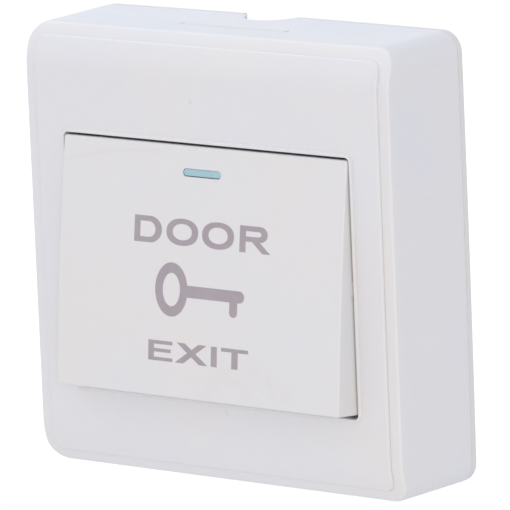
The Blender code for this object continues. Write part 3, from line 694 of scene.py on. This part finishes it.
def pad_ring(inset):
    return square_ring(ROCKER_HX - inset, PAD_H - inset, max(0.55 - inset, 0.05), 0.0, cz=PAD_C, nc=5, ns=36)


def ease(s):
    f = max(0.0, min(1.0, (s - S_TOP + 5.0) / 4.0))
    return E_LOW + (E_TOP - E_LOW) * f * f * (3 - 2 * f)


def pad(n_abs, d=0.0):
    """Ring straight behind the outline at one depth."""
    add([(x, -n_abs, s) for x, _, s in pad_ring(0.0)], d)


def pad_eased(t):
    """Ring on the eased front edge, t = 0 at the side wall and 90 degrees at the face."""
    out = []
    for p, q in zip(pad_ring(0.0), pad_ring(0.5)):
        e = ease(p[2])
        k = e * (1 - math.cos(t)) / 0.5
        x, s = lerp(p[0], q[0], k), lerp(p[2], q[2], k)
        out.append((x, -(crown(s) - e * (1 - math.sin(t))), s))
    add(out, 0.0)


def pad_face(inset):
    add([(x, -crown(s), s) for x, _, s in pad_ring(inset)], 0.0)


def sunk(p):
    """Painted shade only on what lies behind the window's lip at rest."""
    y = local(p[0], p[2], -p[1]).y
    return 0.8 * max(0.0, min(1.0, (y + 24.3) / 1.2))


for n_abs in (N_REAR, -1.6, -0.8, 0.0, 0.6, 1.2, 1.8, 2.4, 3.0, 3.6, 4.1):
    pad(n_abs, sunk)
for k in range(0, 7):
    pad_eased(math.radians(90.0 * k / 6))
for inset in (0.7, 1.1, 1.8, 3.0):
    pad_face(inset)
rocker = loft(rings, "rocker", grime_and_shade=grime_and_shade)
# the loft's front cap is one flat face; it is remade as strips that follow the crown
bm = bmesh.new()
bm.from_mesh(rocker.data)
cap = max(bm.faces, key=lambda f: -f.calc_center_median().y if len(f.verts) > 8 else -1e9)
edge = [v for v in cap.verts]
hx_in = ROCKER_HX - 3.0
left = sorted((v for v in edge if v.co.x < -(hx_in - 0.005) * MM), key=lambda v: v.co.z)
right = sorted((v for v in edge if v.co.x > (hx_in - 0.005) * MM), key=lambda v: v.co.z)
bmesh.ops.delete(bm, geom=[cap], context="FACES_ONLY")
rows_l = {round(v.co.z / MM, 3): v for v in edge if v.co.x < 0 and abs(v.co.x / MM + hx_in) < 0.2}
rows_r = {round(v.co.z / MM, 3): v for v in edge if v.co.x > 0 and abs(v.co.x / MM - hx_in) < 0.2}
keys = sorted(set(rows_l) & set(rows_r))
def strip_row(k):
    """All edge vertices at one height, from left to right, so that the end strips share every one of them."""
    if k in (keys[0], keys[-1]):
        return sorted((v for v in edge if abs(v.co.z / MM - k) < 2e-3), key=lambda v: v.co.x)
    return [rows_l[k], rows_r[k]]


for a, b in zip(keys, keys[1:]):
    bm.faces.new(strip_row(a) + list(reversed(strip_row(b))))
bmesh.ops.recalc_face_normals(bm, faces=bm.faces)
bm.to_mesh(rocker.data)
bm.free()
wi = ROCKER_HX - ROCKER_WALL
combine(
    rocker,
    ("-", box(-wi, wi, -CEIL, 6.0, S_BOT + ROCKER_WALL, S_TOP - ROCKER_WALL)),
    ("+", box(-wi - 0.3, wi + 0.3, -CEIL - 0.4, -1.2, 6.9, 8.1)),
    ("+", box(-wi - 0.3, wi + 0.3, -CEIL - 0.4, -1.2, -7.1, -5.9)),
    ("+", box(-8.6, -7.4, -CEIL - 0.4, -1.2, S_BOT + 1.2, 7.5)),
    ("+", box(7.4, 8.6, -CEIL - 0.4, -1.2, S_BOT + 1.2, 7.5)),
    ("+", turned_y(0.0, -11.4, [(-CEIL - 0.5, 2.4), (-0.5, 1.9), (5.7, 1.8), (6.2, 1.5), (6.5, 1.0)], 28)),
)
SPRING_X, SPRING_Z = 20.0, -16.6
peg_s = (SPRING_Z - PIVOT_Z) / math.cos(TILT)
for sx in (-1, 1):
    a, b = sorted((sx * (wi + 0.4), sx * 35.15))
    axle = loft([[(x, r * math.sin(t), r * math.cos(t)) for t in [2 * math.pi * k / 28 for k in range(28)]] for x, r in ((a, 1.5 if sx > 0 else 1.3), (a + 0.2, 1.5), (b - 0.2, 1.5), (b, 1.3 if sx > 0 else 1.5))], "tmp")
    n0, n1 = sorted((sx * (ROCKER_HX - 0.2), sx * (ROCKER_HX + 0.14)))
    nib = loft([[(x, -2.9 - e, -1.5 + e), (x, 1.2, -1.5 + e), (x, 1.2, 1.5 - e), (x, -2.9 - e, 1.5 - e)] for x, e in (((n0, 0.0 if sx > 0 else 0.12), (n1, 0.12 if sx > 0 else 0.0)))], "tmp")
    combine(rocker, ("+", turned_y(sx * SPRING_X, peg_s, [(-CEIL - 0.5, 1.5), (-2.1, 1.45), (-1.9, 1.2)], 24)), ("+", axle), ("+", nib))
combine(rocker, ("-", prism_y(stadium(4.50, 0.765, 0.76, 0.0, SLOT_S, 10), -9.0, -3.0)))
combine(rocker, ("-", prism_y(stadium(4.7, 1.0, 0.99, 0.0, SLOT_S, 10), -4.6, -3.0)))
rocker.data.transform(LOCAL)
finish(rocker, "paddle", M_ROCKER, "rocker", ["rocker"])

# luminous insert with a softly domed face
rings, grime_and_shade = [], []
top_n = crown(SLOT_S)
# ring values: painted shade on the insert's sides, which sit in the slot
for hx, hz, n, d in (
    (3.7, 0.10, top_n - 0.10, 0.0), (4.1, 0.42, top_n - 0.10, 0.0), (4.30, 0.58, top_n - 0.115, 0.05),
    (4.38, 0.66, top_n - 0.15, 0.2), (4.42, 0.70, top_n - 0.24, 1.0), (4.42, 0.70, 3.4, 1.0),
    (4.42, 0.70, 3.36, 1.0), (6.2, 2.3, 3.35, 0.4), (6.2, 2.3, 2.35, 0.0),
):
    add([(x, -n, s) for x, s in stadium(hx, hz, hz - 0.005, 0.0, SLOT_S + 0.05, 8)], d)
insert = loft(rings, "insert", grime_and_shade=grime_and_shade)
insert.data.transform(LOCAL)
finish(insert, "light_insert", M_TEAL, "rocker", ["indicator_insert"])


# ------------------------------------------------------------------ printed legend
def inside(poly, x, y):
    hit = False
    for (x0, y0), (x1, y1) in zip(poly, poly[1:] + poly[:1]):
        if (y0 > y) != (y1 > y) and x < (x1 - x0) * (y - y0) / (y1 - y0) + x0:
            hit = not hit
    return hit


def rect(x0, x1, y0, y1):
    return [(x0, y0), (x1, y0), (x1, y1), (x0, y1)]


def oval(cx, cy, rx, ry, n=44, power=2.0):
    pts = []
    for k in range(n):
        t = 2 * math.pi * k / n
        c, s = math.cos(t), math.sin(t)
        pts.append((cx + rx * math.copysign(abs(c) ** (2 / power), c), cy + ry * math.copysign(abs(s) ** (2 / power), s)))
    return pts


def d_shape(x0, x1, y0, y1, flat, n=16):
    """Straight left side, half-oval right side that starts at x = flat."""
    cy, ry, rx = (y0 + y1) / 2, (y1 - y0) / 2, x1 - flat
    arc = [(flat + rx * math.cos(t), cy + ry * math.sin(t)) for t in [-math.pi / 2 + math.pi * k / n for k in range(n + 1)]]
    return [(x0, y0)] + arc + [(x0, y1)]


def printed(name, solids, holes=()):
    """Union of the solids less the holes, laid on the paddle's crowned face as a thin layer of ink."""
    polys = list(solids) + list(holes)
    verts, edges = [], []
    for poly in polys:
        fine = []
        for p, q in zip(poly, poly[1:] + poly[:1]):
            k = max(1, int(math.dist(p, q) / 1.2))
            fine += [(p[0] + (q[0] - p[0]) * i / k, p[1] + (q[1] - p[1]) * i / k) for i in range(k)]
        base = len(verts)
        verts += [Vector(p) for p in fine]
        edges += [(base + i, base + (i + 1) % len(fine)) for i in range(len(fine))]
    out_v, _, out_f, _, _, _ = delaunay_2d_cdt(verts, edges, [], 0, 1e-5)
    keep = []
    for f in out_f:
        cx = sum(out_v[i].x for i in f) / 3
        cy = sum(out_v[i].y for i in f) / 3
        if any(inside(p, cx, cy) for p in solids) and not any(inside(p, cx, cy) for p in holes):
            keep.append(f)
    bm = bmesh.new()
    used = sorted({i for f in keep for i in f})
    tops = {i: bm.verts.new(Vector((out_v[i].x, -(crown(out_v[i].y) + 0.014), out_v[i].y)) * MM) for i in used}
    lows = {i: bm.verts.new(Vector((out_v[i].x, -(crown(out_v[i].y) - 0.03), out_v[i].y)) * MM) for i in used}
    count = {}
    for f in keep:
        bm.faces.new([tops[i] for i in f])
        bm.faces.new([lows[i] for i in reversed(f)])
        for i, j in zip(f, f[1:] + f[:1]):
            count[frozenset((i, j))] = count.get(frozenset((i, j)), []) + [(i, j)]
    for e, uses in count.items():
        if len(uses) == 1:
            i, j = uses[0]
            bm.faces.new((tops[j], tops[i], lows[i], lows[j]))
    o = link(bm, name)
    o.data.transform(LOCAL)
    return finish(o, name, M_INK, "rocker", angle=25.0)


T0, T1 = 5.0, 10.0
printed("print_d", [d_shape(-15.45, -8.88, T0, T1, -11.7)], [d_shape(-14.05, -10.42, T0 + 1.0, T1 - 1.02, -12.0)])
for name, cx in (("print_o1", -4.02), ("print_o2", 4.46)):
    printed(name, [oval(cx, 7.52, 3.77, 2.54, power=2.25)], [oval(cx, 7.55, 2.27, 1.53, power=2.15)])
printed(
    "print_r",
    [rect(9.57, 11.0, T0, T1), d_shape(9.57, 16.1, 7.05, T1, 14.35, 12), [(11.95, 7.5), (13.75, 7.5), (16.85, T0), (14.95, T0)]],
    [d_shape(11.0, 14.62, 8.02, T1 - 0.98, 13.9, 10)],
)
printed(
    "print_key",
    [
        oval(-6.2, -3.45, 3.85, 5.12, 56),
        rect(-3.6, 9.95, -4.66, -2.40),
        oval(9.93, -3.53, 1.13, 1.13, 24),
        rect(7.63, 9.48, -6.57, -3.6),
        oval(8.555, -6.57, 0.925, 0.92, 20),
    ],
    [oval(-6.2, -3.46, 2.06, 3.16, 44)],
)
X0, X1 = -17.15, -13.33
printed("print_e", [rect(-11.4, -10.07, X0, X1), rect(-11.4, -5.68, X1 - 0.68, X1), rect(-11.4, -6.05, -15.50, -14.84), rect(-11.4, -5.62, X0, X0 + 0.66)])
printed("print_x", [[(-4.66, X1), (-2.72, X1), (2.72, X0), (0.72, X0)], [(0.52, X1), (2.44, X1), (-3.06, X0), (-5.06, X0)]])
printed("print_i", [rect(3.52, 4.92, X0, X1)])
printed("print_t", [rect(5.92, 12.28, X1 - 0.68, X1), rect(8.38, 9.85, X0, X1)])


# ------------------------------------------------------------------ screws and springs
def screw(name, node, x, z, y_head, towards, length, head_r=2.5, shank_r=1.1, head_h=1.3, cross=True):
    """Pan-head screw with a driver recess and a rolled thread."""
    prof = [(y_head - towards * head_h, head_r * 0.10)]
    for k in range(1, 6):
        t = math.radians(90.0 * k / 5)
        prof.append((y_head - towards * head_h * (0.35 + 0.65 * math.cos(t) ** 0.9), head_r * (0.12 + 0.88 * math.sin(t))))
    prof += [(y_head - towards * 0.06, head_r), (y_head, head_r * 0.97), (y_head + towards * 0.01, shank_r * 0.86)]
    pitch, h = 0.7, 0.4
    while h < length - 1.1:
        prof += [(y_head + towards * h, shank_r * 0.82), (y_head + towards * (h + pitch * 0.42), shank_r), (y_head + towards * (h + pitch * 0.58), shank_r)]
        h += pitch
    prof += [(y_head + towards * (length - 0.6), shank_r * 0.8), (y_head + towards * length, shank_r * 0.3)]
    o = turned_y(x, z, prof, 32)
    deep = y_head - towards * head_h * 0.25
    far = y_head - towards * (head_h + 1.0)
    y0, y1 = sorted((deep, far))
    if cross:
        w = head_r * 0.15
        r = head_r * 0.56
        cut = combine(box(x - r, x + r, y0, y1, z - w, z + w), ("+", box(x - w, x + w, y0, y1, z - r, z + r)))
    else:
        cut = box(x - head_r * 1.1, x + head_r * 1.1, y0, y1, z - 0.3, z + 0.3)
    combine(o, ("-", cut))
    return finish(o, name, M_STEEL, "housing", [node])


for key, x in (("common", -10.0), ("closed", 0.0), ("open", 10.0)):
    screw(f"clamp_screw_{key}", f"terminal_screw_{key}", x, -1.0, -5.5, -1, 5.0, head_r=2.6, shank_r=1.2, cross=False)
for sx, side in ((-1, "left"), (1, "right")):
    screw(f"switch_screw_{side}", f"base_screw_{side}", sx * 19.5, -9.5, -15.2, 1, 7.2, head_r=2.2, shank_r=1.05)
k = 0
for sx, sz in ((-1, 1), (1, 1), (1, -1), (-1, -1)):
    k += 1
    screw(f"frame_screw_{k}", f"yoke_screw_{k}", sx * BOSS_XZ, sz * BOSS_XZ, -15.2, 1, 6.6)
    screw(f"rear_screw_{k}", f"plate_screw_{k}", sx * BOSS_XZ, sz * BOSS_XZ, -0.85, -1, 5.0, head_r=2.5, head_h=0.75)


def coil(name, node, x, z, y0, y1, r, wire, turns, ends=0.75):
    per, sides = 26, 10
    total = turns + 2 * ends
    n = int(per * total)
    rows = []
    for i in range(n + 1):
        t = total * i / n
        a = 2 * math.pi * t
        lead = 1.12 * wire
        span = y1 - y0 - wire
        if t < ends:
            h = lead * t
        elif t > total - ends:
            h = span - lead * (total - t)
        else:
            h = lead * ends + (span - 2 * lead * ends) * (t - ends) / turns
        c = Vector((x + r * math.cos(a), y0 + wire / 2 + h, z + r * math.sin(a)))
        out = Vector((math.cos(a), 0.0, math.sin(a)))
        rows.append([c + (out * math.cos(p) + Vector((0, 1, 0)) * math.sin(p)) * wire / 2 for p in [2 * math.pi * q / sides for q in range(sides)]])
    o = loft([[tuple(p) for p in row] for row in rows], name)
    finish(o, name, M_SPRING, "housing", [node], angle=80.0)
    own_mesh(o)
    return o


seat_y = PIVOT_Y + peg_s * math.sin(TILT) - CEIL * math.cos(TILT)
for sx, side in ((-1, "left"), (1, "right")):
    coil(f"return_coil_{side}", f"rocker_spring_{side}", sx * SPRING_X, SPRING_Z, seat_y + 0.75, -15.2, 2.35, 0.5, 4.5)
coil("contact_coil", "blade_spring", -5.0, -14.17, -8.1, -4.0, 1.5, 0.35, 3.5)

# ------------------------------------------------------------------ carried-over CAD nodes
CARRIED = {
    "mounting_yoke": M_YOKE, "switch_base": M_BASE, "switch_cover": M_LID, "plunger": M_NYLON,
    "moving_blade": M_BRONZE, "blade_contact": M_SILVER, "closed_contact_rivet": M_SILVER, "open_contact_rivet": M_SILVER,
    "common_strip": M_BRASS, "closed_contact_strip": M_BRASS, "open_contact_strip": M_BRASS,
    "terminal_clamp_common": M_STEEL, "terminal_clamp_closed": M_STEEL, "terminal_clamp_open": M_STEEL,
}
for node, mat in CARRIED.items():
    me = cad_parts[node].data
    me.materials.clear()
    me.materials.append(mat)

# ------------------------------------------------------------------ floor, light, camera
bm = bmesh.new()
low = cad_low.z - 0.45
for x, y in ((-6.0, -6.0), (6.0, -6.0), (6.0, 8.0), (-6.0, 8.0)):
    bm.verts.new((x, y, low))
bm.faces.new(bm.verts[:])
floor = link(bm, "studio_floor_plane")
floor.data.materials.append(floor_material())

world = bpy.data.worlds.new("studio")
bpy.context.scene.world = world
world.use_nodes = True
bg = world.node_tree.nodes["Background"]
bg.inputs["Color"].default_value = (0.871, 0.914, 1.0, 1.0)
bg.inputs["Strength"].default_value = 0.93


def softbox(name, where, at, size, power, colour=(1, 1, 1)):
    d = bpy.data.lights.new(name, "AREA")
    d.shape = "RECTANGLE"
    d.size, d.size_y = size
    d.energy = power
    d.color = colour
    o = bpy.data.objects.new(name, d)
    COLL.objects.link(o)
    o.location = where
    o.rotation_euler = (Vector(at) - Vector(where)).to_track_quat("-Z", "Y").to_euler()
    return o


softbox("overhead", (-0.75, -0.05, 1.0), (0, 0, 0), (0.45, 0.45), 3.05, (0.93, 0.986, 1.0))
softbox("front_key", (0.85, -1.25, 0.24), (0, 0, 0), (0.5, 0.5), 5.85, (1.0, 0.79, 0.372))
softbox("front_fill", (0.1, -1.4, 0.12), (0, 0, 0), (0.8, 0.8), 1.04, (0.54, 0.51, 1.0))
softbox("right_fill", (1.6, -0.3, 0.15), (0, 0, 0), (0.8, 0.8), 1.0, (0.40, 0.52, 1.0))
softbox("floor_wash", (-1.65, 2.1, 0.35), (-1.65, 2.1, -0.5), (2.2, 2.2), 13.5, (1.0, 0.911, 0.741))

F, PITCH, YAW, ROLL = 6582.9, math.radians(11.034), math.radians(37.912), math.radians(-2.369)
T = Vector((6.011, -3.074, 1253.022))
cy, sy = math.cos(YAW), math.sin(YAW)
cp, sp = math.cos(PITCH), math.sin(PITCH)
cr, sr = math.cos(ROLL), math.sin(ROLL)
RY = Matrix(((cy, 0, sy), (0, 1, 0), (-sy, 0, cy)))
RX = Matrix(((1, 0, 0), (0, cp, -sp), (0, sp, cp)))
RZ = Matrix(((cr, -sr, 0), (sr, cr, 0), (0, 0, 1)))
BB = Matrix(((1, 0, 0), (0, 0, -1), (0, 1, 0)))
R = RZ @ RX @ RY @ BB
pos = -(R.transposed() @ T) * MM
cam_data = bpy.data.cameras.new("photo_camera")
cam_data.sensor_width = 36.0
cam_data.sensor_fit = "HORIZONTAL"
cam_data.lens = F * 36.0 / 510.0
cam_data.clip_start, cam_data.clip_end = 0.05, 50.0
cam = bpy.data.objects.new("photo_camera", cam_data)
COLL.objects.link(cam)
rot = Matrix((R[0], -R[1], -R[2])).transposed().to_4x4()
cam.matrix_world = Matrix.Translation(pos) @ rot
bpy.context.scene.camera = cam
bpy.context.scene.view_settings.view_transform = "Standard"
bpy.context.scene.view_settings.look = "None"
